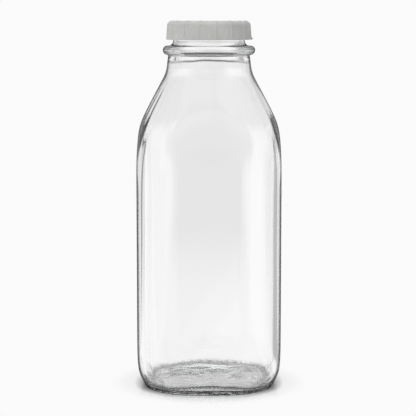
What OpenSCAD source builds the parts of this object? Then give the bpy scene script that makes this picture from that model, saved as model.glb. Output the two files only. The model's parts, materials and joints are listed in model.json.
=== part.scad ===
// Square glass milk bottle with a ribbed plastic screw cap and a foam liner.
// Millimetres. The origin is at the middle of the base, on the surface the bottle stands on,
// +Z points up and -Y is the front.

/* [Bottle] */
// Height of the glass, from the base to the rim
bottle_h = 227.6; // [222:0.2:236]
// Width across the flat sides of the body
body_w = 90; // [86:0.5:94]
// Radius of the body's four upright corners
corner_r = 26; // [22:1:30]
// Thickness of the side walls
wall = 4.5; // [3.4:0.1:5]
// Thickness of the glass floor where it meets the walls
floor_t = 3.8; // [3.4:0.1:6]
// Slope of the shoulder cone, in degrees from upright
shoulder_tilt = 28.1; // [26:0.1:30]
// Depth of the hollow under the base
pushup_h = 0.9; // [0.5:0.1:1.2]

/* [Neck finish] */
// Diameter of the bore at the mouth
bore_d = 39; // [36:0.5:39.5]
// Diameter of the plain glass between the threads
root_d = 44.8; // [44.4:0.1:45.2]
// Diameter over the threads
thread_d = 47.4; // [46.8:0.1:47.6]
// Distance from the rim down to the top of the neck bead
finish_h = 13.6; // [13.4:0.1:14.2]
// Diameter over the neck bead
bead_d = 57.8; // [57:0.2:58.6]
// Number of thread starts
starts = 4; // [3:1:5]
// Distance between neighbouring threads, along the axis
thread_pitch = 3; // [2.8:0.1:3.2]

/* [Cap] */
// Height of the cap with its ribs
cap_h = 12; // [11.6:0.1:12.4]
// Diameter of the cap at its lower edge, without the ribs
cap_d = 53.4; // [53.2:0.1:54]
// Number of upright ribs
rib_count = 16; // [8:2:32]
// How far the ribs stand out
rib_h = 0.35; // [0.2:0.05:0.5]
// Thickness of the liner
liner_t = 0.8; // [0.6:0.1:1.2]

/* [Hidden] */
$fn = 96;
overlap = 1;                          // how far joined solids run into each other
cover = 0.1;                          // how far round parts reach past the facets of the body
fine_fn = 240;                        // roundness of the shallow domes

// Upright profile of the body and shoulder
half_w = body_w / 2;
shoulder_slope = tan(shoulder_tilt);
cone_top_r = 29.7;                    // outer radius where the shoulder cone ends
cone_top_z = bottle_h - 35.6;
heel_r = 20;                          // radius of the rounded lower edge of each side
heel_h = 12;
foot_chamfer = 0.8;                   // small bevel at the bearing ring
foot_round_r = 43.4;                  // radius that cuts the corners round at the base
foot_flare = 0.6;                     // growth of that radius with height
blend_power = 21;                     // sharpness of the soft edges; more is sharper
shoulder_wall = 3.1;                  // wall of the shoulder, measured level
heel_wall = 4.8;                      // wall at the rounded foot, measured level
floor_fillet_r = 7.5;                 // inside radius between wall and floor
straight_low_z = 32;                  // the sides are straight between these heights
straight_high_z = 118;
segments = 48;                        // points around the body
pushup_r = 36;                        // radius of the hollow under the base
bowl_h = 0.5;                         // dip in the middle of the inside floor
bowl_r = 32;

// Neck finish
root_r = root_d / 2;
bore_r = bore_d / 2;
bead_round_r = 2.8;
bead_z = bottle_h - finish_h - bead_round_r;
bead_low_z = bead_z - bead_round_r;
neck_top_r = 25.5;                    // neck just under the bead
neck_tilt = 7.3;                      // slope of the neck below the bead
neck_blend_r = 20;                    // hollow curve between neck and shoulder, on the outside
neck_inner_blend_r = 12;              // the same curve on the inside
neck_wall = 2.3;                      // wall of the neck below the bore, measured level
rim_round_r = 1;
lip_r = 2;                            // rounded lower edge of the bore
lip_z = bottle_h - 22.6;              // where the bore ends and the wider neck begins
lip_fillet_r = 1.2;                   // inside radius where the lip meets the neck

// Threads; the cap's threads run halfway between those of the glass
lead = starts * thread_pitch;
thread_low_z = bottle_h - 8.8;
thread_arc = 140;
cap_thread_arc = 100;
cap_thread_turn = 54;                 // how far round the cap's threads start from those of the glass
thread_foot = 0.75;                   // half the width of a thread at its foot
thread_crest = 0.35;
thread_step = 6;                      // degrees between the rings of a thread
thread_end = 0.35;                    // height of a thread's two ends, as a share of the full height

// Cap
cap_top_t = 1;
cap_top_z = bottle_h + liner_t + cap_top_t;
cap_low_z = cap_top_z + rib_h - cap_h;
cap_r = cap_d / 2;
cap_draft = 0.6;                      // the cap is this much smaller in radius at the top
cap_edge_r = 3;
cap_inner_r = 24.9;
cap_thread_tip_r = root_r + 0.5;
liner_r = cap_inner_r - 0.4;
retainer_r = 23.3;                    // ring that keeps the liner in the cap
retainer_h = 0.7;
liner_gap = 0.3;
rib_angle = 1.4;
rib_top_l = 0.4;                      // how far the ribs run in over the flat top
rib_phase = -80.25;
tab_angle = 8;
tab_h = 2;
tab_out = 0.75;

// Distance from the axis to a rounded square, in the direction of an angle
function rounded_square_radius(angle, half, corner) =
    let (
        folded = abs((angle + 45) % 90 - 45),
        middle = half - corner,
        diagonal = middle * sqrt(2)
    )
    half * tan(folded) <= middle
        ? half / cos(folded)
        : diagonal * cos(45 - folded) + sqrt(pow(corner, 2) - pow(diagonal * sin(45 - folded), 2));

// How far an edge of radius r and height h is set back at height z above its lower end
function edge_setback(r, h, z) = z >= h ? 0 : r - sqrt(pow(r, 2) - pow(h - z, 2));

// The smallest of three radii, with the edges between them softened
function soft_min(a, b, c) = a * pow(1 + pow(a / b, blend_power) + pow(a / c, blend_power), -1 / blend_power);

function cone_radius(z) = cone_top_r + (cone_top_z - z) * shoulder_slope;
function foot_radius(z) = foot_round_r + foot_flare * z;

// Outside of the glass
function outer_radius(angle, z) =
    let (setback = edge_setback(heel_r, heel_h, z) + max(0, foot_chamfer - z))
    soft_min(
        rounded_square_radius(angle, half_w - setback, corner_r - setback),
        cone_radius(z),
        foot_radius(z)
    );

// Inside of the glass
function inner_radius(angle, z) =
    let (setback = wall + edge_setback(floor_fillet_r, floor_fillet_r, z - floor_t))
    soft_min(
        rounded_square_radius(angle, half_w - setback, corner_r - setback),
        cone_radius(z) - shoulder_wall,
        foot_radius(z) - heel_wall
    );

function ring(z, radii) = [for (i = [0:len(radii) - 1])
    [radii[i] * cos(360 * i / len(radii)), radii[i] * sin(360 * i / len(radii)), z]];

// Closed solid through a stack of rings of equal length, lowest ring first
module ring_stack(rings) {
    count = len(rings[0]);
    sides = [for (j = [0:len(rings) - 2], i = [0:count - 1])
        let (low = j * count, high = low + count, next = (i + 1) % count)
        each [[low + i, high + next, low + next], [low + i, high + i, high + next]]];
    bottom = [for (i = [0:count - 1]) i];
    top = [for (i = [count - 1:-1:0]) (len(rings) - 1) * count + i];
    polyhedron(points = [for (r = rings) each r], faces = concat(sides, [bottom, top]), convexity = 6);
}

function arc(centre, radius, from, to, steps) =
    [for (i = [0:steps]) let (a = from + (to - from) * i / steps) centre + radius * [cos(a), sin(a)]];

module body_outside() {
    levels = concat(
        [0, foot_chamfer, 2.5, 5, 8, heel_h, 18, 25, straight_low_z],
        [for (z = [straight_high_z:6:cone_top_z - 4]) z],
        [cone_top_z]
    );
    ring_stack([for (z = levels)
        ring(z, [for (i = [0:segments - 1]) outer_radius(360 * i / segments, z)])]);
}

module body_inside() {
    levels = concat(
        [for (a = [0:18:90]) floor_t + floor_fillet_r * (1 - cos(a))],
        [18, 25, straight_low_z],
        [for (z = [straight_high_z:6:cone_top_z - 4]) z],
        [cone_top_z]
    );
    ring_stack([for (z = levels)
        ring(z, [for (i = [0:segments - 1]) inner_radius(360 * i / segments, z)])]);
}

function neck_radius(z) = neck_top_r + (bead_low_z - z) * tan(neck_tilt);

// Hollow curve from the shoulder cone into the neck, on the outside or at a wall's depth inside
function neck_blend(shoulder_depth, neck_depth, blend_r) =
    let (
        cone_at_0 = cone_radius(0) - shoulder_depth,
        neck_at_0 = neck_radius(0) - neck_depth,
        meet_z = (cone_at_0 - neck_at_0) / (shoulder_slope - tan(neck_tilt)),
        meet_r = cone_radius(meet_z) - shoulder_depth,
        tangent = blend_r * tan((shoulder_tilt - neck_tilt) / 2),
        start = [meet_r, meet_z] + tangent * [sin(shoulder_tilt), -cos(shoulder_tilt)]
    )
    arc(start + blend_r * [cos(shoulder_tilt), sin(shoulder_tilt)], blend_r, 180 + shoulder_tilt, 180 + neck_tilt, 6);

// Neck from the shoulder cone to the rim. It is a hair wider than the faceted shoulder, which it covers.
module neck_outside() {
    rotate_extrude() {
        polygon(concat(
            [
                [0, cone_top_z - 2 * overlap],
                [cone_top_r - 4 * overlap, cone_top_z - 2 * overlap],
                [cone_top_r - 4 * overlap, cone_top_z - overlap],
                [cone_radius(cone_top_z - overlap) + cover, cone_top_z - overlap]
            ],
            neck_blend(0, 0, neck_blend_r),
            [
                [neck_top_r, bead_low_z],
                [bead_d / 2 - bead_round_r, bead_low_z],
                [bead_d / 2 - bead_round_r, bead_z + bead_round_r],
                [root_r, bead_z + 2 * bead_round_r],
                [root_r, bottle_h - rim_round_r],
                [root_r - rim_round_r, bottle_h],
                [0, bottle_h]
            ]
        ));
        translate([bead_d / 2 - bead_round_r, bead_z]) circle(bead_round_r);
        translate([root_r - rim_round_r, bottle_h - rim_round_r]) circle(rim_round_r);
    }
}

// Bore at the mouth, the rounded lip where it ends, and the wider neck below it
module neck_inside() {
    fillet_r = neck_radius(lip_z - lip_fillet_r) - neck_wall;
    rotate_extrude() {
        polygon(concat(
            [
                [0, cone_top_z - 4 * overlap],
                [bore_r, cone_top_z - 4 * overlap],
                [bore_r, cone_top_z - overlap],
                [cone_radius(cone_top_z - overlap) - shoulder_wall + cover, cone_top_z - overlap]
            ],
            neck_blend(shoulder_wall, neck_wall, neck_inner_blend_r),
            arc([fillet_r - lip_fillet_r, lip_z - lip_fillet_r], lip_fillet_r, 0, 90, 3),
            arc([bore_r + lip_r, lip_z + lip_r], lip_r, 270, 180, 5),
            [
                [bore_r, bottle_h + overlap],
                [0, bottle_h + overlap]
            ]
        ));
    }
}

// One start of a thread: a ridge of trapezoid section that climbs round the axis.
// foot_r is where the ridge starts inside its wall and crest_r is its free edge.
module thread(foot_r, crest_r, foot_half, crest_half, low_z, arc_angle) {
    steps = round(arc_angle / thread_step);
    rings = [for (i = [0:steps])
        let (
            a = arc_angle * i / steps,
            z = low_z + lead * a / 360,
            fade = min(1, thread_end * (1 + min(i, steps - i))),
            tip_r = foot_r + (crest_r - foot_r) * fade
        )
        [for (p = [
            [foot_r, -foot_half], [tip_r, -crest_half], [tip_r, crest_half], [foot_r, foot_half]
        ]) [p[0] * cos(a), p[0] * sin(a), z + p[1]]]];
    outward = crest_r > foot_r;
    ring_stack(outward ? [for (r = rings) [r[3], r[2], r[1], r[0]]] : rings);
}

module glass_threads() {
    for (k = [0:starts - 1])
        rotate(360 * k / starts)
            thread(root_r - 0.5, thread_d / 2, thread_foot, thread_crest, thread_low_z, thread_arc);
}

module cap_threads() {
    low_z = thread_low_z - thread_pitch / 2 + lead * cap_thread_turn / 360;
    for (k = [0:starts - 1])
        rotate(360 * k / starts + cap_thread_turn)
            thread(cap_inner_r + 0.4, cap_thread_tip_r, thread_foot, thread_crest, low_z, cap_thread_arc);
}

// Top of a large ball: rim_r in radius at z = 0 and height tall. A little of the ball carries on below.
module ball_cap(rim_r, height) {
    sphere_r = (pow(rim_r, 2) + pow(height, 2)) / (2 * height);
    rotate_extrude() intersection() {
        translate([0, height - sphere_r]) circle(sphere_r, $fn = fine_fn);
        translate([0, -overlap]) square([rim_r + overlap, height + 2 * overlap]);
    }
}

// Hollow under the base, which leaves a flat ring for the bottle to stand on
module base_pushup() {
    ball_cap(pushup_r, pushup_h);
}

// Shallow bowl in the inside floor
module floor_bowl() {
    translate([0, 0, floor_t]) mirror([0, 0, 1]) ball_cap(bowl_r, bowl_h);
}

module glass_bottle() {
    color("lightcyan", 0.5) {
        difference() {
            union() {
                body_outside();
                neck_outside();
            }
            body_inside();
            neck_inside();
            base_pushup();
            floor_bowl();
        }
        glass_threads();
    }
}

// Half section of the cap's outside, grown by an amount for the ribs
module cap_half_outside(grow) {
    edge_centre = [cap_r - cap_draft - cap_edge_r, cap_top_z - cap_edge_r];
    polygon(concat(
        [[0, cap_low_z], [cap_r + grow, cap_low_z]],
        arc(edge_centre, cap_edge_r + grow, 0, 90, 8),
        [[0, cap_top_z + grow]]
    ));
}

module cap_hollow() {
    under_top_z = cap_top_z - cap_top_t;
    retainer_z = bottle_h - liner_gap - retainer_h;
    rotate_extrude() polygon([
        [0, cap_low_z - overlap],
        [cap_inner_r, cap_low_z - overlap],
        [cap_inner_r, retainer_z - retainer_h],
        [retainer_r, retainer_z],
        [retainer_r, retainer_z + retainer_h],
        [cap_inner_r, retainer_z + retainer_h],
        [cap_inner_r, under_top_z],
        [0, under_top_z]
    ]);
}

module cap_rib() {
    rotate([0, 0, -rib_angle / 2]) rotate_extrude(angle = rib_angle) intersection() {
        cap_half_outside(rib_h);
        translate([cap_r - cap_draft - cap_edge_r - rib_top_l, cap_low_z]) square([2 * cap_edge_r, cap_h]);
    }
}

// Small lip at the lower edge, for a thumb
module cap_tab() {
    rotate([0, 0, -tab_angle / 2]) rotate_extrude(angle = tab_angle) polygon([
        [cap_r - overlap, cap_low_z],
        [cap_r + tab_out, cap_low_z],
        [cap_r + tab_out, cap_low_z + tab_h / 3],
        [cap_r - overlap, cap_low_z + tab_h]
    ]);
}

module cap_shell() {
    color("lightgray") {
        difference() {
            union() {
                rotate_extrude() cap_half_outside(0);
                for (k = [0:rib_count - 1]) rotate(rib_phase + 360 * k / rib_count) cap_rib();
                cap_tab();
            }
            cap_hollow();
        }
        cap_threads();
    }
}

module cap_liner() {
    color("white") translate([0, 0, bottle_h]) cylinder(h = liner_t, r = liner_r);
}

glass_bottle();
cap_shell();
cap_liner();
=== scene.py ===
"""Looks of a square glass milk bottle: clear moulded glass, a ribbed grey plastic cap and a foam liner."""

import json
import math

import bpy
import numpy as np
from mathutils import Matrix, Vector


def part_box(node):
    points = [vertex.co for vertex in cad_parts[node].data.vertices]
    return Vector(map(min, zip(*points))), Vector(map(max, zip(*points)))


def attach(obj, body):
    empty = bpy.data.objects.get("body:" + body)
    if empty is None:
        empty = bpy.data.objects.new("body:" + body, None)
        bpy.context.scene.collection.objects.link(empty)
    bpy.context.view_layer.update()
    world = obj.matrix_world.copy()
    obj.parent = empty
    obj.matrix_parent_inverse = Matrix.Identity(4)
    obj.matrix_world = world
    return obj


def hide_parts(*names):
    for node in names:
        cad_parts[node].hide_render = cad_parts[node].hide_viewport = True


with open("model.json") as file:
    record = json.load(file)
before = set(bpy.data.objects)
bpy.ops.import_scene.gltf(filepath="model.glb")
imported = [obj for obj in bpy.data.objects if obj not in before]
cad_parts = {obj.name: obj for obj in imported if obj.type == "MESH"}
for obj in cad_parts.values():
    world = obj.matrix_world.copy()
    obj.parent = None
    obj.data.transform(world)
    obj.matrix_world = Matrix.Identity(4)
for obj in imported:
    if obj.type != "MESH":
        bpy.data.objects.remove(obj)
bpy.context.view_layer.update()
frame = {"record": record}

MM = 0.001
SEED = 11

# ---------------------------------------------------------------- sizes read from the frame
glass_low, glass_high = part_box("glass_bottle")
cap_low, cap_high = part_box("cap_shell")
liner_low, liner_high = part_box("cap_liner")
mounts = {m["name"]: m for m in frame["record"]["mounts"]}

half_w = glass_high.x
bottle_h = glass_high.z
bore_r = mounts["mouth_bore"]["dims"]["r_mm"] * MM
cap_low_z, cap_top_z = cap_low.z, cap_high.z
liner_r = liner_high.x

# ---------------------------------------------------------------- shape of the glass
# These follow the CAD model, but the lip inside the neck is lower and sharper, with a wider curve below it.
CORNER_R = 26 * MM
WALL = 4.5 * MM
FLOOR_T = 3.8 * MM
SHOULDER_TILT = math.radians(28.1)
SHOULDER_SLOPE = math.tan(SHOULDER_TILT)
CONE_TOP_R = 29.7 * MM
CONE_TOP_Z = bottle_h - 35.6 * MM
HEEL_R = 20 * MM
HEEL_H = 12 * MM
FOOT_EDGE_R = 0.8 * MM
FOOT_ROUND_R = 43.4 * MM
FOOT_FLARE = 0.6
BLEND_POWER = 21
SHOULDER_WALL = 3.1 * MM
HEEL_WALL = 4.8 * MM
FLOOR_FILLET_R = 7.5 * MM
PUSHUP_R = 36 * MM
PUSHUP_H = 0.9 * MM
BOWL_R = 32 * MM
BOWL_H = 0.5 * MM
STRAIGHT_LOW_Z = 32 * MM
STRAIGHT_HIGH_Z = 118 * MM

ROOT_R = 22.4 * MM
THREAD_R = 23.7 * MM
BEAD_R = 28.9 * MM
BEAD_ROUND_R = 2.8 * MM
BEAD_Z = bottle_h - 13.6 * MM - BEAD_ROUND_R
BEAD_FILLET_R = 1.3 * MM
BEAD_FLARE_R = 3.2 * MM
NECK_TOP_R = 25.5 * MM
NECK_TILT = math.radians(7.3)
NECK_BLEND_R = 20 * MM
NECK_INNER_BLEND_R = 22 * MM
NECK_WALL = 2.3 * MM
RIM_ROUND_R = 1 * MM
BORE_ROUND_R = 0.6 * MM
LIP_R = 1 * MM
LIP_Z = bottle_h - 23.4 * MM
LIP_FILLET_R = 0.7 * MM

STARTS = 4
THREAD_PITCH = 3 * MM
LEAD = STARTS * THREAD_PITCH
THREAD_LOW_Z = bottle_h - 8.8 * MM
THREAD_ARC = math.radians(140)
CAP_THREAD_ARC = math.radians(100)
CAP_THREAD_TURN = math.radians(54)
THREAD_FOOT = 0.75 * MM
THREAD_CREST = 0.35 * MM
THREAD_FADE = 0.2  # radians

KNURL_BARS = 112
KNURL_DEPTH = 0.5 * MM

# ---------------------------------------------------------------- how uneven the moulded glass is
HOLLOW_WAVE = 0.05 * MM
SIDE_WAVE = 0.02 * MM
LIP_TILT = 0.8 * MM
LIP_WAVE = 0.12 * MM
FLOOR_WAVE = 0.08 * MM
FLOOR_RIPPLE = 0.05 * MM
# On the inner surface: the height of the waves in the body, what the shoulder adds and what the heel adds
WIDE_WAVE = (0.03 * MM, 0.05 * MM, 0.12 * MM)
STREAKS = (0.008 * MM, 0.03 * MM, 0.05 * MM)
CREASES = (0, 0, 0.07 * MM)
# Where the lip's waves stand, measured down from the rim, and the shoulder's and heel's, measured up
LIP_BAND = ((16 * MM, 21 * MM), (26 * MM, 32 * MM))
INNER_SHOULDER_BAND = ((120 * MM, 160 * MM), (180 * MM, 192 * MM))
INNER_HEEL_TOP_Z = 30 * MM

# ---------------------------------------------------------------- shape of the cap
CAP_TOP_T = 1 * MM
CAP_DRAFT = 0.6 * MM
CAP_EDGE_R = 3 * MM
CAP_INNER_R = 24.9 * MM
CAP_INNER_EDGE_R = 0.25 * MM
CAP_THREAD_TIP_R = ROOT_R + 0.5 * MM
CAP_LIP_R = 0.3 * MM
RETAINER_R = 23.3 * MM
RETAINER_H = 0.7 * MM
RETAINER_Z = bottle_h - 0.3 * MM - RETAINER_H
RETAINER_EDGE = 0.2 * MM
RIB_COUNT = 16
RIB_PITCH = 2 * math.pi / RIB_COUNT
RIB_H = 0.35 * MM
RIB_HALF = math.radians(1.05)
RIB_TOP_L = 0.6 * MM
RIB_TOP_FADE = 0.4
RIB_PHASE = math.radians(-80.25)
TAB_HALF = math.radians(4)
TAB_H = 2 * MM
TAB_OUT = 0.75 * MM
SUNK_R = 19 * MM
SUNK_DEPTH = 0.12 * MM
GATE_R = 3.2 * MM
GATE_DEPTH = 0.4 * MM
GATE_NUB_R = 0.9 * MM
cap_r = cap_high.x - TAB_OUT
cap_flat_z = cap_top_z - RIB_H
cap_flat_r = cap_r - CAP_DRAFT - CAP_EDGE_R

# ---------------------------------------------------------------- shape of the liner
LINER_EDGE_R = 0.3 * MM
RIM_PRINT_DEPTH = 0.06 * MM
RIM_PRINT_HALF = 1.2 * MM


def smoothstep(low, high, value):
    """0 up to low, 1 from high, and a smooth curve between them."""
    t = np.clip((value - low) / (high - low), 0, 1)
    return t * t * (3 - 2 * t)


def band(rise, fall, value):
    """1 between two soft ends and 0 outside them. Each end is the pair of values that it runs between."""
    return smoothstep(*rise, value) * (1 - smoothstep(*fall, value))


def rounded_square(angle, half, corner):
    """Distance from the axis to a rounded square, in the direction of each angle."""
    quarter = math.pi / 2
    folded = np.abs((angle + quarter / 2) % quarter - quarter / 2)
    middle = half - corner
    diagonal = middle * math.sqrt(2)
    turned = quarter / 2 - folded
    on_flat = half / np.cos(folded)
    half_chord = np.sqrt(np.maximum(corner**2 - (diagonal * np.sin(turned)) ** 2, 0))
    on_corner = diagonal * np.cos(turned) + half_chord
    return np.where(half * np.tan(folded) <= middle, on_flat, on_corner)


def edge_setback(radius, height, z):
    """How far an edge of this radius, rounded up to this height, stands back from the side at height z."""
    return 0 if z >= height else radius - math.sqrt(radius**2 - (height - z) ** 2)


def soft_min(a, b, c):
    """The smallest of three radii, rounded off where they cross."""
    return a * (1 + (a / b) ** BLEND_POWER + (a / c) ** BLEND_POWER) ** (-1 / BLEND_POWER)


def cone_radius(z):
    """Outside of the shoulder cone."""
    return CONE_TOP_R + (CONE_TOP_Z - z) * SHOULDER_SLOPE


def foot_radius(z):
    """Outside of the round foot, which widens upwards."""
    return FOOT_ROUND_R + FOOT_FLARE * z


def outer_radius(angle, z, extra=0.0):
    """Outside of the glass from the foot to the shoulder, set back by an extra depth if one is given."""
    setback = edge_setback(HEEL_R, HEEL_H, z) + extra
    body = rounded_square(angle, half_w - setback, CORNER_R - setback)
    return soft_min(body, cone_radius(z), foot_radius(z))


def inner_radius(angle, z):
    """Inside of the glass from the floor to the shoulder."""
    setback = WALL + edge_setback(FLOOR_FILLET_R, FLOOR_FILLET_R, z - FLOOR_T)
    body = rounded_square(angle, half_w - setback, CORNER_R - setback)
    return soft_min(body, cone_radius(z) - SHOULDER_WALL, foot_radius(z) - HEEL_WALL)


def ripple(x, y, z, wavelength, seed):
    """Smooth uneven field of about unit size: a sum of plane waves in seeded random directions."""
    waves = 16
    rng = np.random.default_rng(seed)
    total = np.zeros(np.broadcast(x, y, z).shape)
    for _ in range(waves):
        direction = rng.normal(size=3)
        direction *= 2 * math.pi / (wavelength * rng.uniform(0.7, 1.5) * np.linalg.norm(direction))
        across = direction[0] * x + direction[1] * y + direction[2] * z
        total += np.sin(across + rng.uniform(0, 2 * math.pi))
    return total * math.sqrt(2 / waves)


def arc(centre_r, centre_z, radius, start, end, steps):
    """Points (r, z) along an arc of the upright section; angles in degrees from straight out."""
    return [
        (centre_r + radius * math.cos(math.radians(a)), centre_z + radius * math.sin(math.radians(a)))
        for a in np.linspace(start, end, steps + 1)
    ]


def thread_height(angle, z, low_z, turn, arc_angle):
    """0 to 1: how far the thread ridge stands at each angle, at height z."""
    height = np.zeros_like(angle)
    for k in range(STARTS):
        along = (angle - turn - 2 * math.pi * k / STARTS) % (2 * math.pi)
        away = np.abs(z - (low_z + LEAD * along / (2 * math.pi)))
        ends = smoothstep(0, THREAD_FADE, along) * smoothstep(0, THREAD_FADE, arc_angle - along)
        height = np.maximum(height, ends * (1 - smoothstep(THREAD_CREST * 0.6, THREAD_FOOT, away)))
    return height


# ---------------------------------------------------------------- meshes
def lathe(name, angle, rows, low_pole_z, high_pole_z):
    """Closed mesh through rows of (radius, height) at each angle, between two points on the axis.
    The rows run outwards on faces that look down and upwards on faces that look out."""
    count = len(angle)
    radius = np.array([np.broadcast_to(r, angle.shape) for r, _ in rows])
    height = np.array([np.broadcast_to(z, angle.shape) for _, z in rows])
    grid = np.stack([radius * np.cos(angle), radius * np.sin(angle), height], axis=-1).reshape(-1, 3)
    points = np.vstack([grid, [[0, 0, low_pole_z], [0, 0, high_pole_z]]])
    column = np.arange(count)
    following = (column + 1) % count
    faces = []
    for row in range(len(rows) - 1):
        low, high = row * count, (row + 1) * count
        faces += np.stack([low + column, low + following, high + following, high + column], axis=1).tolist()
    last = (len(rows) - 1) * count
    low_pole, high_pole = len(grid), len(grid) + 1
    faces += [(low_pole, int(b), int(a)) for a, b in zip(column, following)]
    faces += [(last + int(a), last + int(b), high_pole) for a, b in zip(column, following)]
    mesh = bpy.data.meshes.new(name)
    mesh.from_pydata(points.tolist(), [], faces)
    mesh.update()
    mesh.shade_smooth()
    piece = bpy.data.objects.new(name, mesh)
    bpy.context.scene.collection.objects.link(piece)
    return piece


def foot_rows(angle):
    """Underside of the base: the hollow, the knurled bearing ring and the rounded foot edge."""
    sphere_r = (PUSHUP_R**2 + PUSHUP_H**2) / (2 * PUSHUP_H)
    rows = []
    for r in np.linspace(0.03, 1, 26) * PUSHUP_R:
        wave = HOLLOW_WAVE * ripple(r * np.cos(angle), r * np.sin(angle), 0, 16 * MM, SEED + 5)
        fade = 1 - smoothstep(0.85, 1, r / PUSHUP_R)
        rows.append((r, PUSHUP_H - (sphere_r - math.sqrt(sphere_r**2 - r**2)) + wave * fade))
    edge = outer_radius(angle, 0, FOOT_EDGE_R)
    bars = smoothstep(-0.4, 0.4, np.cos(KNURL_BARS * angle))
    for f in np.linspace(0.06, 1, 15):
        groove = band((0.05, 0.25), (0.6, 0.85), f)
        rows.append((PUSHUP_R + f * (edge - PUSHUP_R), KNURL_DEPTH * groove * bars))
    for a in np.radians(np.arange(15, 90, 15)):
        z = FOOT_EDGE_R * (1 - math.cos(a))
        rows.append((outer_radius(angle, z, FOOT_EDGE_R * (1 - math.sin(a))), z))
    return rows


def side_rows(angle):
    """Outside of the heel, the body and the shoulder."""
    levels = np.concatenate([
        np.linspace(FOOT_EDGE_R, STRAIGHT_LOW_Z, 34),
        np.linspace(STRAIGHT_LOW_Z, STRAIGHT_HIGH_Z, 24)[1:],
        np.linspace(STRAIGHT_HIGH_Z, CONE_TOP_Z, 52)[1:],
    ])
    rows = []
    for z in levels:
        r = outer_radius(angle, z)
        wave = ripple(r * np.cos(angle), r * np.sin(angle), z, 40 * MM, SEED)
        rows.append((r - SIDE_WAVE * (1 + np.tanh(wave)), z))
    return rows


def neck_radius(z):
    """Outside of the neck below the bead, which narrows upwards."""
    return NECK_TOP_R + (BEAD_Z - BEAD_ROUND_R - z) * math.tan(NECK_TILT)


def neck_blend(shoulder_depth, neck_depth, radius, steps):
    """Hollow curve from the shoulder cone up into the neck, at a wall's depth inside."""
    cone_at_0 = cone_radius(0) - shoulder_depth
    neck_at_0 = neck_radius(0) - neck_depth
    meet_z = (cone_at_0 - neck_at_0) / (SHOULDER_SLOPE - math.tan(NECK_TILT))
    meet_r = cone_radius(meet_z) - shoulder_depth
    tangent = radius * math.tan((SHOULDER_TILT - NECK_TILT) / 2)
    centre_r = meet_r + tangent * math.sin(SHOULDER_TILT) + radius * math.cos(SHOULDER_TILT)
    centre_z = meet_z - tangent * math.cos(SHOULDER_TILT) + radius * math.sin(SHOULDER_TILT)
    start, end = 180 + math.degrees(SHOULDER_TILT), 180 + math.degrees(NECK_TILT)
    return arc(centre_r, centre_z, radius, start, end, steps)


def neck_rows(angle):
    """Outside of the neck with its bead and threads, the rim, and the edge of the bore."""
    rows = neck_blend(0, 0, NECK_BLEND_R, 12)
    under_z = BEAD_Z - BEAD_ROUND_R - BEAD_FILLET_R
    for z in np.linspace(rows[-1][1], under_z, 9)[1:]:
        rows.append((neck_radius(z), z))
    rows += arc(NECK_TOP_R + BEAD_FILLET_R, under_z, BEAD_FILLET_R, 170, 100, 4)
    rows += arc(BEAD_R - BEAD_ROUND_R, BEAD_Z, BEAD_ROUND_R, -84, 84, 24)
    rows += arc(ROOT_R + BEAD_FLARE_R, BEAD_Z + BEAD_ROUND_R + BEAD_FLARE_R, BEAD_FLARE_R, 262, 186, 10)
    finish_low_z = rows[-1][1]
    finish_high_z = bottle_h - RIM_ROUND_R
    for z in np.linspace(finish_low_z + 0.3 * MM, finish_high_z, 42):
        ridge = thread_height(angle, z, THREAD_LOW_Z, 0, THREAD_ARC)
        rows.append((ROOT_R + (THREAD_R - ROOT_R) * ridge, z))
    rows += arc(ROOT_R - RIM_ROUND_R, finish_high_z, RIM_ROUND_R, 12, 90, 7)
    rows += arc(bore_r + BORE_ROUND_R, bottle_h - BORE_ROUND_R, BORE_ROUND_R, 96, 180, 7)
    return rows


def inner_neck_outline():
    """Inside of the neck, downwards: the bore, its rounded lip and the wider neck below."""
    points = [(bore_r, z) for z in np.linspace(bottle_h - 2 * MM, LIP_Z + LIP_R + 0.5 * MM, 9)]
    points += arc(bore_r + LIP_R, LIP_Z + LIP_R, LIP_R, 180, 266, 14)
    fillet_z = LIP_Z - LIP_FILLET_R
    fillet_r = neck_radius(fillet_z) - NECK_WALL
    points += arc(fillet_r - LIP_FILLET_R, fillet_z, LIP_FILLET_R, 86, 0, 8)
    blend = neck_blend(SHOULDER_WALL, NECK_WALL, NECK_INNER_BLEND_R, 10)[::-1]
    for z in np.linspace(fillet_z, blend[0][1], 8)[1:-1]:
        points.append((neck_radius(z) - NECK_WALL, z))
    return points + blend


def wave_height(heights, shoulder, heel):
    """Height of a kind of wave where the shoulder and the heel have these shares, from 0 to 1."""
    in_body, shoulder_adds, heel_adds = heights
    return in_body + shoulder_adds * shoulder + heel_adds * heel


def inner_floor_rows(angle):
    """Inside floor, inwards: a shallow dip with an uneven surface."""
    rim = inner_radius(angle, FLOOR_T + 0.02 * MM)
    sphere_r = (BOWL_R**2 + BOWL_H**2) / (2 * BOWL_H)
    rows = []
    for f in np.linspace(1, 0.03, 44):
        r = rim * f
        x, y = r * np.cos(angle), r * np.sin(angle)
        bowl = np.maximum(np.sqrt(sphere_r**2 - r**2) - (sphere_r - BOWL_H), 0)
        uneven = FLOOR_WAVE * ripple(x, y, 0, 16 * MM, SEED + 2)
        uneven += FLOOR_RIPPLE * ripple(x, y, 0, 5 * MM, SEED + 3)
        rows.append((r, FLOOR_T - bowl + uneven * smoothstep(0, 0.25, f)))
    return rows


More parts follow.
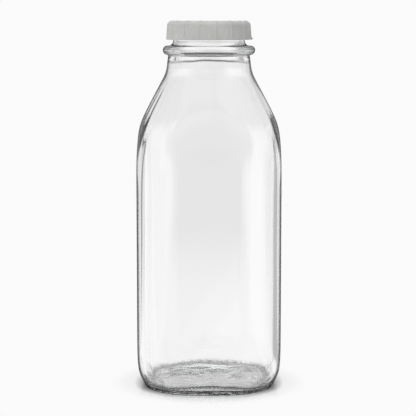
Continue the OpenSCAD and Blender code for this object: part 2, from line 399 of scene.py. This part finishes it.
def inside_rows(angle):
    """Inside of the glass, from the bore down to the floor, with the waves that moulding leaves."""
    around_x, around_y = 40 * MM * np.cos(angle), 40 * MM * np.sin(angle)
    lip_lift = LIP_WAVE * ripple(around_x, around_y, 0, 22 * MM, SEED + 4) - LIP_TILT * np.cos(2 * angle)
    rows = []
    for r, z in inner_neck_outline():
        rows.append((r, z + lip_lift * band(*LIP_BAND, bottle_h - z)))
    levels = np.concatenate([
        np.linspace(rows[-1][1].max() - 0.5 * MM, STRAIGHT_HIGH_Z, 56),
        np.linspace(STRAIGHT_HIGH_Z, STRAIGHT_LOW_Z, 30)[1:],
        np.linspace(STRAIGHT_LOW_Z, FLOOR_T + FLOOR_FILLET_R, 12)[1:],
        FLOOR_T + FLOOR_FILLET_R * (1 - np.cos(np.radians(np.linspace(82, 8, 12)))),
    ])
    for z in levels:
        r = inner_radius(angle, z)
        x, y = r * np.cos(angle), r * np.sin(angle)
        shoulder = band(*INNER_SHOULDER_BAND, z)
        heel = 1 - smoothstep(FLOOR_T, INNER_HEEL_TOP_Z, z)
        uneven = wave_height(WIDE_WAVE, shoulder, heel) * ripple(x, y, 0.45 * z, 34 * MM, SEED + 1)
        streak = ripple(around_x, around_y, 0.1 * z, 8 * MM, SEED + 6)
        uneven += wave_height(STREAKS, shoulder, heel) * streak
        uneven += wave_height(CREASES, shoulder, heel) * ripple(x, y, z, 9 * MM, SEED + 7)
        rows.append((r + uneven, z))
    return rows + inner_floor_rows(angle)


def make_glass():
    """The bottle, with an attribute for the width of its painted dark edges (painted shade), less on the
    shoulder and the bead.
    """
    angle = np.linspace(0, 2 * math.pi, 6 * KNURL_BARS, endpoint=False)
    outside = foot_rows(angle) + side_rows(angle) + neck_rows(angle)
    glass = lathe("bottle_glass", angle, outside + inside_rows(angle), PUSHUP_H, FLOOR_T - BOWL_H)
    points = np.array([vertex.co for vertex in glass.data.vertices])
    height = points[:, 2]
    is_outside = np.arange(len(points)) < len(outside) * len(angle)
    shoulder = band(*EDGE_SHOULDER_BAND, height)
    bead = smoothstep(BEAD_Z - BEAD_ROUND_R - MM, BEAD_Z - BEAD_ROUND_R, height)
    width = is_outside * (1 - EDGE_LESS_ON_SHOULDER * shoulder - EDGE_LESS_ON_BEAD * bead)
    glass.data.attributes.new("edge_width", "FLOAT", "POINT").data.foreach_set("value", width)
    return glass


def cap_angles():
    """Angles round the cap, close together on the ribs and wider between them."""
    near = np.linspace(-1.3, 1.3, 11) * RIB_HALF
    between = np.linspace(near[-1], RIB_PITCH + near[0], 12)[1:-1]
    period = np.concatenate([near, between])
    return np.concatenate([RIB_PHASE + k * RIB_PITCH + period for k in range(RIB_COUNT)])


def cap_inside_rows(angle, under_z):
    """Inside of the cap: under its top, the ring that keeps the liner, the threads and the lower edge."""
    rows = [(f * CAP_INNER_R, under_z) for f in np.linspace(0.1, 0.97, 10)]
    rows += arc(CAP_INNER_R - CAP_INNER_EDGE_R, under_z - CAP_INNER_EDGE_R, CAP_INNER_EDGE_R, 75, 0, 4)
    rows += [
        (CAP_INNER_R, RETAINER_Z + RETAINER_H + 0.15 * MM),
        (RETAINER_R + RETAINER_EDGE, RETAINER_Z + RETAINER_H),
        (RETAINER_R, RETAINER_Z + 0.5 * RETAINER_H),
        (RETAINER_R + RETAINER_EDGE, RETAINER_Z),
        (CAP_INNER_R, RETAINER_Z - RETAINER_H),
    ]
    thread_low_z = THREAD_LOW_Z - THREAD_PITCH / 2 + LEAD * CAP_THREAD_TURN / (2 * math.pi)
    for z in np.linspace(RETAINER_Z - RETAINER_H - 0.2 * MM, cap_low_z + CAP_LIP_R, 40):
        ridge = thread_height(angle, z, thread_low_z, CAP_THREAD_TURN, CAP_THREAD_ARC)
        rows.append((CAP_INNER_R - (CAP_INNER_R - CAP_THREAD_TIP_R) * ridge, z))
    return rows + arc(CAP_INNER_R + CAP_LIP_R, cap_low_z + CAP_LIP_R, CAP_LIP_R, 190, 260, 4)


def cap_outline():
    """Outside of the cap without its ribs, upwards: radius, height, and how far it faces out and up."""
    straight_low_z = cap_low_z + CAP_LIP_R
    edge_z = cap_flat_z - CAP_EDGE_R
    outline = []
    for a in np.radians([20, 45, 70]):
        out, down = math.sin(a), math.cos(a)
        outline.append((cap_r - CAP_LIP_R * (1 - out), cap_low_z + CAP_LIP_R * (1 - down), out, -down))
    for f in np.linspace(0, 1, 16):
        outline.append((cap_r - CAP_DRAFT * f, straight_low_z + f * (edge_z - straight_low_z), 1, 0))
    for a in np.radians(np.linspace(6, 90, 14)):
        out, up = math.cos(a), math.sin(a)
        outline.append((cap_flat_r + CAP_EDGE_R * out, edge_z + CAP_EDGE_R * up, out, up))
    return outline + [(cap_flat_r - f * RIB_TOP_L, cap_flat_z, 0, 1) for f in (0.5, 1, 1.3)]


def cap_outside_rows(angle):
    """Outside of the cap with its ribs, which fade at the top edge, and the thumb lip at its lower edge."""
    from_rib = np.abs((angle - RIB_PHASE + RIB_PITCH / 2) % RIB_PITCH - RIB_PITCH / 2)
    rib = 1 - smoothstep(0.25, 1, from_rib / RIB_HALF)
    from_tab = np.abs((angle + math.pi) % (2 * math.pi) - math.pi)
    tab = 1 - smoothstep(0.6, 1, from_tab / TAB_HALF)
    rows = []
    for r, z, out, up in cap_outline():
        top = max(up, 0)
        rib_end = 1 - smoothstep(0.9, 1.3, (cap_flat_r - r) / RIB_TOP_L)
        raised = RIB_H * rib * smoothstep(-1, -0.3, up) * rib_end * (1 - RIB_TOP_FADE * top)
        lip = TAB_OUT * tab * (1 - smoothstep(TAB_H / 3, TAB_H, z - cap_low_z)) * out
        rows.append((r + raised * out + lip, z + raised * top))
    return rows


def cap_top_rows():
    """Top of the cap, inwards: a slightly sunk disc, and the dimple and nub that moulding leaves."""
    rows = []
    for f in np.linspace(0.94, 0.02, 40):
        r = f * cap_flat_r
        dimple = GATE_DEPTH * (1 - smoothstep(GATE_R * 0.8, GATE_R, r))
        nub = 0.7 * GATE_DEPTH * (1 - smoothstep(0.5 * MM, GATE_NUB_R, r))
        sunk = SUNK_DEPTH * (1 - smoothstep(SUNK_R, SUNK_R + 0.4 * MM, r))
        rows.append((r, cap_flat_z - sunk - dimple + nub))
    return rows


def make_cap():
    """The cap as one closed mesh, from under its top round its lower edge to the middle of its top."""
    angle = cap_angles()
    under_z = cap_flat_z - CAP_TOP_T
    rows = cap_inside_rows(angle, under_z) + cap_outside_rows(angle) + cap_top_rows()
    return lathe("cap_moulding", angle, rows, under_z, rows[-1][1])


def make_liner():
    """Foam disc with soft edges and the shallow ring that the glass rim presses into it."""
    angle = np.linspace(0, 2 * math.pi, 160, endpoint=False)
    low_z, high_z = liner_low.z, liner_high.z
    flat_r = liner_r - LINER_EDGE_R
    rim_mid = (bore_r + ROOT_R) / 2
    rows = []
    for r in np.linspace(0.06, 1, 40) * flat_r:
        pressed = RIM_PRINT_DEPTH * np.exp(-(((r - rim_mid) / RIM_PRINT_HALF) ** 2))
        rows.append((r, low_z + pressed))
    rows += arc(flat_r, low_z + LINER_EDGE_R, LINER_EDGE_R, -75, 0, 5)
    rows += arc(flat_r, high_z - LINER_EDGE_R, LINER_EDGE_R, 0, 75, 5)
    rows += [(r, high_z) for r in np.linspace(1, 0.06, 14) * flat_r]
    return lathe("liner_disc", angle, rows, low_z, high_z)


# ---------------------------------------------------------------- materials
# Painted shade on the glass: the grey painted on its dark edges, how far the edges reach and how soft they
# are, less on the shoulder and the bead, and the height below which every surface gets it
PAINTED_EDGE_GREY = (0.27, 0.27, 0.27)
EDGE_REACH = 0.38
EDGE_SOFTNESS = 0.14
EDGE_LESS_ON_SHOULDER = 0.35
EDGE_LESS_ON_BEAD = 0.2
EDGE_SHOULDER_BAND = ((125 * MM, 145 * MM), (180 * MM, 195 * MM))
ALL_EDGE_SHADED_BELOW = (105 * MM, 125 * MM)
# Painted shade in dark speckles on the foot's ring: how dark it is, and the heights over which it fades out
PAINTED_RING_SHADE = 0.65
PAINTED_RING_SHADE_ENDS = (1.5 * MM, 4.5 * MM)


class Nodes:
    """Short calls for building a node tree."""

    def __init__(self, tree):
        self.tree = tree

    def add(self, kind, **settings):
        node = self.tree.nodes.new(kind)
        for key, value in settings.items():
            setattr(node, key, value)
        return node

    def put(self, socket, value):
        """Gives a socket a number, a colour or the output of another node."""
        if isinstance(value, bpy.types.NodeSocket):
            self.tree.links.new(value, socket)
        elif isinstance(value, tuple) and len(value) == 3 and socket.type == "RGBA":
            socket.default_value = (*value, 1)
        else:
            socket.default_value = value

    def calc(self, operation, first, second=0.0):
        """A sum, or another operation of the Math node."""
        node = self.add("ShaderNodeMath", operation=operation)
        self.put(node.inputs[0], first)
        self.put(node.inputs[1], second)
        return node.outputs[0]

    def remap(self, value, low, high, out_low, out_high, smooth=False):
        """Carries the value from low to high over to out_low to out_high, and holds it at either end."""
        node = self.add("ShaderNodeMapRange", interpolation_type="SMOOTHSTEP" if smooth else "LINEAR")
        self.put(node.inputs["Value"], value)
        self.put(node.inputs["From Min"], low)
        self.put(node.inputs["From Max"], high)
        self.put(node.inputs["To Min"], out_low)
        self.put(node.inputs["To Max"], out_high)
        return node.outputs["Result"]

    def across(self, east, north):
        """How far a place is from the bottle's axis."""
        squares = self.calc("ADD", self.calc("MULTIPLY", east, east), self.calc("MULTIPLY", north, north))
        return self.calc("SQRT", squares)

    def mix(self, factor, first, second):
        node = self.add("ShaderNodeMix", data_type="RGBA")
        for index, given in ((0, factor), (6, first), (7, second)):
            self.put(node.inputs[index], given)
        return node.outputs[2]

    def noise(self, place, scale, detail=3.0, rough=0.5, stretch=(1, 1, 1)):
        spread = self.add("ShaderNodeMapping")
        spread.inputs["Scale"].default_value = stretch
        self.put(spread.inputs["Vector"], place)
        node = self.add("ShaderNodeTexNoise")
        self.put(node.inputs["Scale"], scale)
        self.put(node.inputs["Detail"], detail)
        self.put(node.inputs["Roughness"], rough)
        self.put(node.inputs["Vector"], spread.outputs[0])
        return node.outputs["Fac"]

    def bump(self, height, distance, below=None):
        node = self.add("ShaderNodeBump")
        self.put(node.inputs["Distance"], distance)
        self.put(node.inputs["Height"], height)
        if below is not None:
            self.put(node.inputs["Normal"], below)
        return node.outputs["Normal"]


def new_material(name):
    """A material with one Principled shader: its nodes, the shader's inputs, the object's coordinates."""
    material = bpy.data.materials.new(name)
    material.use_nodes = True
    n = Nodes(material.node_tree)
    inputs = material.node_tree.nodes["Principled BSDF"].inputs
    return material, n, inputs, n.add("ShaderNodeTexCoord").outputs["Object"]


def painted_edge_shade(n, up):
    """0 to 1: painted shade, how strongly the glass colour is darkened to draw a dark edge where it turns
    away from the ray that meets it.
    Low on the bottle every surface that light passes gets this painted shade, and above only the one seen
    first."""
    facing = n.add("ShaderNodeLayerWeight")
    facing.inputs["Blend"].default_value = 0.5
    edge_width = n.add("ShaderNodeAttribute", attribute_name="edge_width").outputs["Fac"]
    turned_away = n.calc("ADD", facing.outputs["Facing"], n.calc("MULTIPLY", edge_width, EDGE_REACH))
    seen_first = n.add("ShaderNodeLightPath").outputs["Is Camera Ray"]
    edge_shaded = n.calc("MAXIMUM", seen_first, n.remap(up, *ALL_EDGE_SHADED_BELOW, 1, 0, smooth=True))
    return n.calc("MULTIPLY", n.remap(turned_away, 1, 1 + EDGE_SOFTNESS, 0, 1, smooth=True), edge_shaded)


def painted_ring_speckles(n, place, east, north, up):
    """0 to 1: painted shade in dark speckles on the bearing ring, low on the foot, standing in for the dark
    contact of the ring with the table.
    """
    speckled = n.remap(n.noise(place, 420, 3, 0.7, stretch=(1, 1, 0.5)), 0.44, 0.58, 0.1, 1)
    ring_low_r, ring_high_r = PUSHUP_R + 2 * MM, PUSHUP_R + 5 * MM
    on_ring = n.remap(n.across(east, north), ring_low_r, ring_high_r, 0, PAINTED_RING_SHADE, smooth=True)
    return n.calc("MULTIPLY", n.remap(up, *PAINTED_RING_SHADE_ENDS, on_ring, 0, smooth=True), speckled)


def glass_material():
    """Clear glass with dark edges painted into its colour as shade, standing in for the dark sides of a
    studio, and painted shade in dark speckles on the foot's ring.
    """
    material, n, _, place = new_material("clear_moulded_glass")
    split = n.add("ShaderNodeSeparateXYZ")
    n.put(split.inputs[0], place)
    east, north, up = split.outputs["X"], split.outputs["Y"], split.outputs["Z"]
    # Painted shade: the dark edges and the dark speckles on the foot's ring are painted into the glass
    # colour
    painted_shade = n.calc("MAXIMUM", painted_edge_shade(n, up), painted_ring_speckles(n, place, east, north, up))
    glass = n.add("ShaderNodeBsdfGlass")
    n.put(glass.inputs["Color"], n.mix(painted_shade, (1, 1, 1), PAINTED_EDGE_GREY))
    n.put(glass.inputs["IOR"], 1.52)
    n.put(glass.inputs["Roughness"], n.remap(n.noise(place, 60, 4), 0.5, 0.8, 0, 0.02))
    drapes = n.bump(n.noise(place, 28, 1, stretch=(1, 1, 0.4)), 0.03 * MM)
    n.put(glass.inputs["Normal"], n.bump(n.noise(place, 420, 2), 0.0025 * MM, below=drapes))
    depth = n.add("ShaderNodeVolumeAbsorption")
    n.put(depth.inputs["Color"], (0.9, 0.91, 0.905))
    n.put(depth.inputs["Density"], 40.0)
    output = material.node_tree.nodes["Material Output"]
    n.put(output.inputs["Surface"], glass.outputs[0])
    n.put(output.inputs["Volume"], depth.outputs[0])
    return material


def cap_material():
    """Satin grey polyethylene with a fine grain, cloudy in tone, with small pale scuffs."""
    material, n, inputs, place = new_material("grey_cap_plastic")
    cloud = n.remap(n.noise(place, 55, 4, 0.6), 0.3, 0.7, 0, 1)
    grey = n.mix(cloud, (0.4, 0.4, 0.388), (0.45, 0.45, 0.438))
    scuff = n.remap(n.noise(place, 900, 3, 0.7, stretch=(1, 1, 0.25)), 0.6, 0.72, 0, 1)
    n.put(inputs["Base Color"], n.mix(scuff, grey, (0.6, 0.6, 0.585)))
    n.put(inputs["Roughness"], n.remap(n.noise(place, 300, 3), 0.3, 0.7, 0.38, 0.55))
    grain = n.bump(n.noise(place, 2600, 2), 0.01 * MM)
    n.put(inputs["Normal"], n.bump(n.noise(place, 120, 2), 0.06 * MM, below=grain))
    n.put(inputs["Subsurface Weight"], 0.15)
    n.put(inputs["Subsurface Radius"], (0.6, 0.6, 0.6))
    n.put(inputs["Subsurface Scale"], 1 * MM)
    return material


def liner_material():
    """White closed-cell foam."""
    material, n, inputs, place = new_material("white_liner_foam")
    cells = n.add("ShaderNodeTexVoronoi")
    n.put(cells.inputs["Scale"], 2600.0)
    n.put(cells.inputs["Vector"], place)
    n.put(inputs["Base Color"], n.mix(n.noise(place, 200, 3), (0.8, 0.8, 0.77), (0.88, 0.88, 0.86)))
    n.put(inputs["Roughness"], n.remap(cells.outputs["Distance"], 0, 0.8, 0.7, 0.95))
    n.put(inputs["Normal"], n.bump(cells.outputs["Distance"], 0.05 * MM))
    return material


# ---------------------------------------------------------------- pieces
def stand_in(piece, material, body, node):
    """Puts the piece in the place of a CAD node, on its body and with its material."""
    piece.data.materials.append(material)
    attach(piece, body)
    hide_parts(node)


stand_in(make_glass(), glass_material(), "bottle", "glass_bottle")
stand_in(make_cap(), cap_material(), "cap", "cap_shell")
stand_in(make_liner(), liner_material(), "liner", "cap_liner")


# ---------------------------------------------------------------- studio
# What the camera sees directly is plain paper. What it sees through the glass is a table and a room that
# are dim, apart from a few bright backdrops, each at a compass direction and with a brightness.
PAPER = 0.96
BACKDROPS = ((90, 1.0), (180, 1.0), (-45, 1.0), (20, 0.5), (-90, 0.6))
UNLIT_TABLE = 0.27
UNLIT_ROOM = 0.8
FAR_LEVEL = 0.86

# The room by how steeply one looks up (the sine of the angle): walls that dim a little, then a lit ceiling
WALLS_DIM = (0, 0.12)
WALL_LEVEL = 0.9
CEILING_STARTS = (0.8, 0.9)
CEILING_LEVEL = 2.0

# Degrees away from a backdrop's middle: where its darker middle ends, its dimmer wings start and it stops
MIDDLE_ENDS = (0.2, 3.2)
WINGS_START = (18, 26)
WING_LEVEL = 0.85
BACKDROP_STOPS = (35, 41)

# How dark the middle of a backdrop is on the table, close by and further away
MIDDLE_DEPTHS = (0.03, 0.13)
SIDE_CLEARANCE = 0.9 * half_w

# Distances on the table from the bottle's axis, in metres, and its gloss close to the bottle
TABLE_HALF = 4.0
MIDDLE_GROWS = (0.25, 0.8)
MIDDLE_FADES = (1.8, 3.2)
TABLE_DIMS = (1.2, 3.2)
GLOSS_FADES = (45 * MM, 65 * MM)
GLOSS_SHARE = 0.3
GLOSS_ROUGHNESS = 0.2

# How bright the table is under the foot: under its hollow, and under its ring from front to back
HOLLOW_GREYS = (0.35, 0.7)
RING_GREYS = (0.1, 0.5)
RING_GREY_ENDS = (-20 * MM, 20 * MM)
FOOT_SHADE_EDGE = 4 * MM

# The thin shade on the table close beside the foot, which is weaker in front of the bottle and behind it
CONTACT_REACH = 6 * MM
CONTACT_POWER = 1.3
CONTACT_MIDDLE_Y = -12 * MM
CONTACT_THINS = (8 * MM, 35 * MM)
CONTACT_LOSS = 0.6

# The camera, its lens in millimetres, and how often a ray of light may turn in the glass
CAMERA_X = -0.6 * MM
CAMERA_DISTANCE = 0.972
CAMERA_ABOVE_RIM = 2.6 * MM
CAMERA_TILT = math.radians(6.95)
LENS = 133.8
LIGHT_BOUNCES = 96


def backdrop(n, east, north, unlit, middle_depth, clearance):
    """How bright the studio is seen through the glass, by compass direction: unlit between the backdrops.
    Each backdrop is softly darker in the middle, by the given depth. Directions are measured from the
    middle of the bottle, or from its sides where a clearance is given."""
    level = unlit
    for centre, brightness in BACKDROPS:
        cos_c, sin_c = math.cos(math.radians(centre)), math.sin(math.radians(centre))
        forward = n.calc("ADD", n.calc("MULTIPLY", east, cos_c), n.calc("MULTIPLY", north, sin_c))
        sideways = n.calc("SUBTRACT", n.calc("MULTIPLY", north, cos_c), n.calc("MULTIPLY", east, sin_c))
        aside = n.calc("MAXIMUM", n.calc("SUBTRACT", n.calc("ABSOLUTE", sideways), clearance), 0.0)
        away = n.calc("MULTIPLY", n.calc("ARCTAN2", aside, forward), math.degrees(1))
        darkest = n.calc("MULTIPLY", brightness, n.calc("SUBTRACT", 1.0, middle_depth))
        middle = n.remap(away, *MIDDLE_ENDS, darkest, brightness, smooth=True)
        wings = n.remap(away, *WINGS_START, middle, WING_LEVEL * brightness, smooth=True)
        level = n.calc("MAXIMUM", level, n.remap(away, *BACKDROP_STOPS, wings, unlit, smooth=True))
    return level


def table_through_glass(n, place, east, north):
    """The table as the glass shows it: lit like the backdrops all round, and shaded under the foot."""
    reach = n.across(east, north)
    middle_depth = n.remap(reach, *MIDDLE_GROWS, *MIDDLE_DEPTHS, smooth=True)
    middle_depth = n.calc("MULTIPLY", middle_depth, n.remap(reach, *MIDDLE_FADES, 1, 0, smooth=True))
    far = n.remap(reach, *TABLE_DIMS, 1, FAR_LEVEL, smooth=True)
    around = n.calc("MULTIPLY", far, backdrop(n, east, north, UNLIT_TABLE, middle_depth, SIDE_CLEARANCE))
    under_hollow = n.remap(n.noise(place, 260, 3, stretch=(0.35, 1, 1)), 0.35, 0.65, *HOLLOW_GREYS)
    under_ring = n.remap(north, *RING_GREY_ENDS, *RING_GREYS, smooth=True)
    under_foot = n.remap(reach, 0.9 * PUSHUP_R, PUSHUP_R, under_hollow, under_ring, smooth=True)
    return n.remap(reach, FOOT_ROUND_R, FOOT_ROUND_R + FOOT_SHADE_EDGE, under_foot, around, smooth=True)


def table_seen_directly(n, north):
    """White paper with a thin contact shade round the foot, deepest beside the bottle."""
    shade = n.add("ShaderNodeAmbientOcclusion", samples=16)
    n.put(shade.inputs["Distance"], CONTACT_REACH)
    open_sky = n.calc("POWER", shade.outputs["AO"], CONTACT_POWER)
    off_middle = n.calc("ABSOLUTE", n.calc("SUBTRACT", north, CONTACT_MIDDLE_Y))
    thinned = n.remap(off_middle, *CONTACT_THINS, 0, CONTACT_LOSS, smooth=True)
    return n.calc("MULTIPLY", n.remap(thinned, 0, 1, open_sky, 1.0), PAPER)


def table_material():
    """White acrylic lit from below, glossy only close to the bottle."""
    material = bpy.data.materials.new("lit_acrylic")
    material.use_nodes = True
    n = Nodes(material.node_tree)
    n.tree.nodes.clear()
    place = n.add("ShaderNodeTexCoord").outputs["Object"]
    split = n.add("ShaderNodeSeparateXYZ")
    n.put(split.inputs[0], place)
    east, north = split.outputs["X"], split.outputs["Y"]
    through_glass = table_through_glass(n, place, east, north)
    seen_directly = table_seen_directly(n, north)
    camera_ray = n.add("ShaderNodeLightPath").outputs["Is Camera Ray"]
    glow = n.add("ShaderNodeEmission")
    n.put(glow.inputs["Strength"], n.remap(camera_ray, 0, 1, through_glass, seen_directly))
    gloss = n.add("ShaderNodeBsdfGlossy")
    n.put(gloss.inputs["Roughness"], GLOSS_ROUGHNESS)
    both = n.add("ShaderNodeMixShader")
    n.put(both.inputs[0], n.remap(n.across(east, north), *GLOSS_FADES, GLOSS_SHARE, 0, smooth=True))
    n.put(both.inputs[1], glow.outputs[0])
    n.put(both.inputs[2], gloss.outputs[0])
    n.put(n.add("ShaderNodeOutputMaterial").inputs["Surface"], both.outputs[0])
    return material


def make_floor():
    """The table top that the bottle stands on."""
    half = TABLE_HALF
    corners = [(-half, -half, 0), (half, -half, 0), (half, half, 0), (-half, half, 0)]
    mesh = bpy.data.meshes.new("floor")
    mesh.from_pydata(corners, [], [(0, 1, 2, 3)])
    mesh.materials.append(table_material())
    floor = bpy.data.objects.new("floor", mesh)
    bpy.context.scene.collection.objects.link(floor)


def make_world():
    """White studio: tall backdrops round the horizon and a large soft light overhead."""
    world = bpy.data.worlds.new("studio")
    bpy.context.scene.world = world
    world.use_nodes = True
    n = Nodes(world.node_tree)
    n.tree.nodes.clear()
    direction = n.add("ShaderNodeSeparateXYZ")
    n.put(direction.inputs[0], n.add("ShaderNodeTexCoord").outputs["Generated"])
    east, north, up = direction.outputs["X"], direction.outputs["Y"], direction.outputs["Z"]
    horizon = n.calc("MULTIPLY", FAR_LEVEL, backdrop(n, east, north, UNLIT_ROOM, 0.0, 0.0))
    walls = n.calc("MULTIPLY", horizon, n.remap(up, *WALLS_DIM, 1, WALL_LEVEL, smooth=True))
    level = n.remap(up, *CEILING_STARTS, walls, CEILING_LEVEL, smooth=True)
    camera_ray = n.add("ShaderNodeLightPath").outputs["Is Camera Ray"]
    background = n.add("ShaderNodeBackground")
    n.put(background.inputs["Color"], (1, 1, 1))
    n.put(background.inputs["Strength"], n.remap(camera_ray, 0, 1, level, PAPER))
    n.put(n.add("ShaderNodeOutputWorld").inputs["Surface"], background.outputs[0])


def make_key_light():
    """Soft light from the left front, for the cap. The glass doesn't mirror it."""
    data = bpy.data.lights.new("key", "AREA")
    data.shape = "RECTANGLE"
    data.size, data.size_y = 0.5, 0.7
    data.energy = 6
    light = bpy.data.objects.new("key", data)
    light.location = (-0.6, -0.95, 0.5)
    light.rotation_euler = (Vector((0, 0, 0.2)) - light.location).to_track_quat("-Z", "Y").to_euler()
    light.visible_camera = False
    light.visible_glossy = False
    light.visible_transmission = False
    bpy.context.scene.collection.objects.link(light)


def make_camera():
    """Camera level with the top of the cap, tilted down so that the bottle fills the frame."""
    data = bpy.data.cameras.new("camera")
    data.sensor_width = 36
    data.lens = LENS
    camera = bpy.data.objects.new("camera", data)
    camera.location = (CAMERA_X, -CAMERA_DISTANCE, bottle_h + CAMERA_ABOVE_RIM)
    camera.rotation_euler = (math.pi / 2 - CAMERA_TILT, 0, 0)
    bpy.context.scene.collection.objects.link(camera)
    bpy.context.scene.camera = camera


def set_up_scene():
    """Plain view of the colours, and enough bounces for light to find its way out of thick curved glass."""
    scene = bpy.context.scene
    scene.view_settings.view_transform = "Standard"
    scene.cycles.max_bounces = LIGHT_BOUNCES
    scene.cycles.transmission_bounces = LIGHT_BOUNCES
    scene.cycles.glossy_bounces = LIGHT_BOUNCES
    scene.cycles.sample_clamp_indirect = 6


make_floor()
make_world()
make_key_light()
make_camera()
set_up_scene()
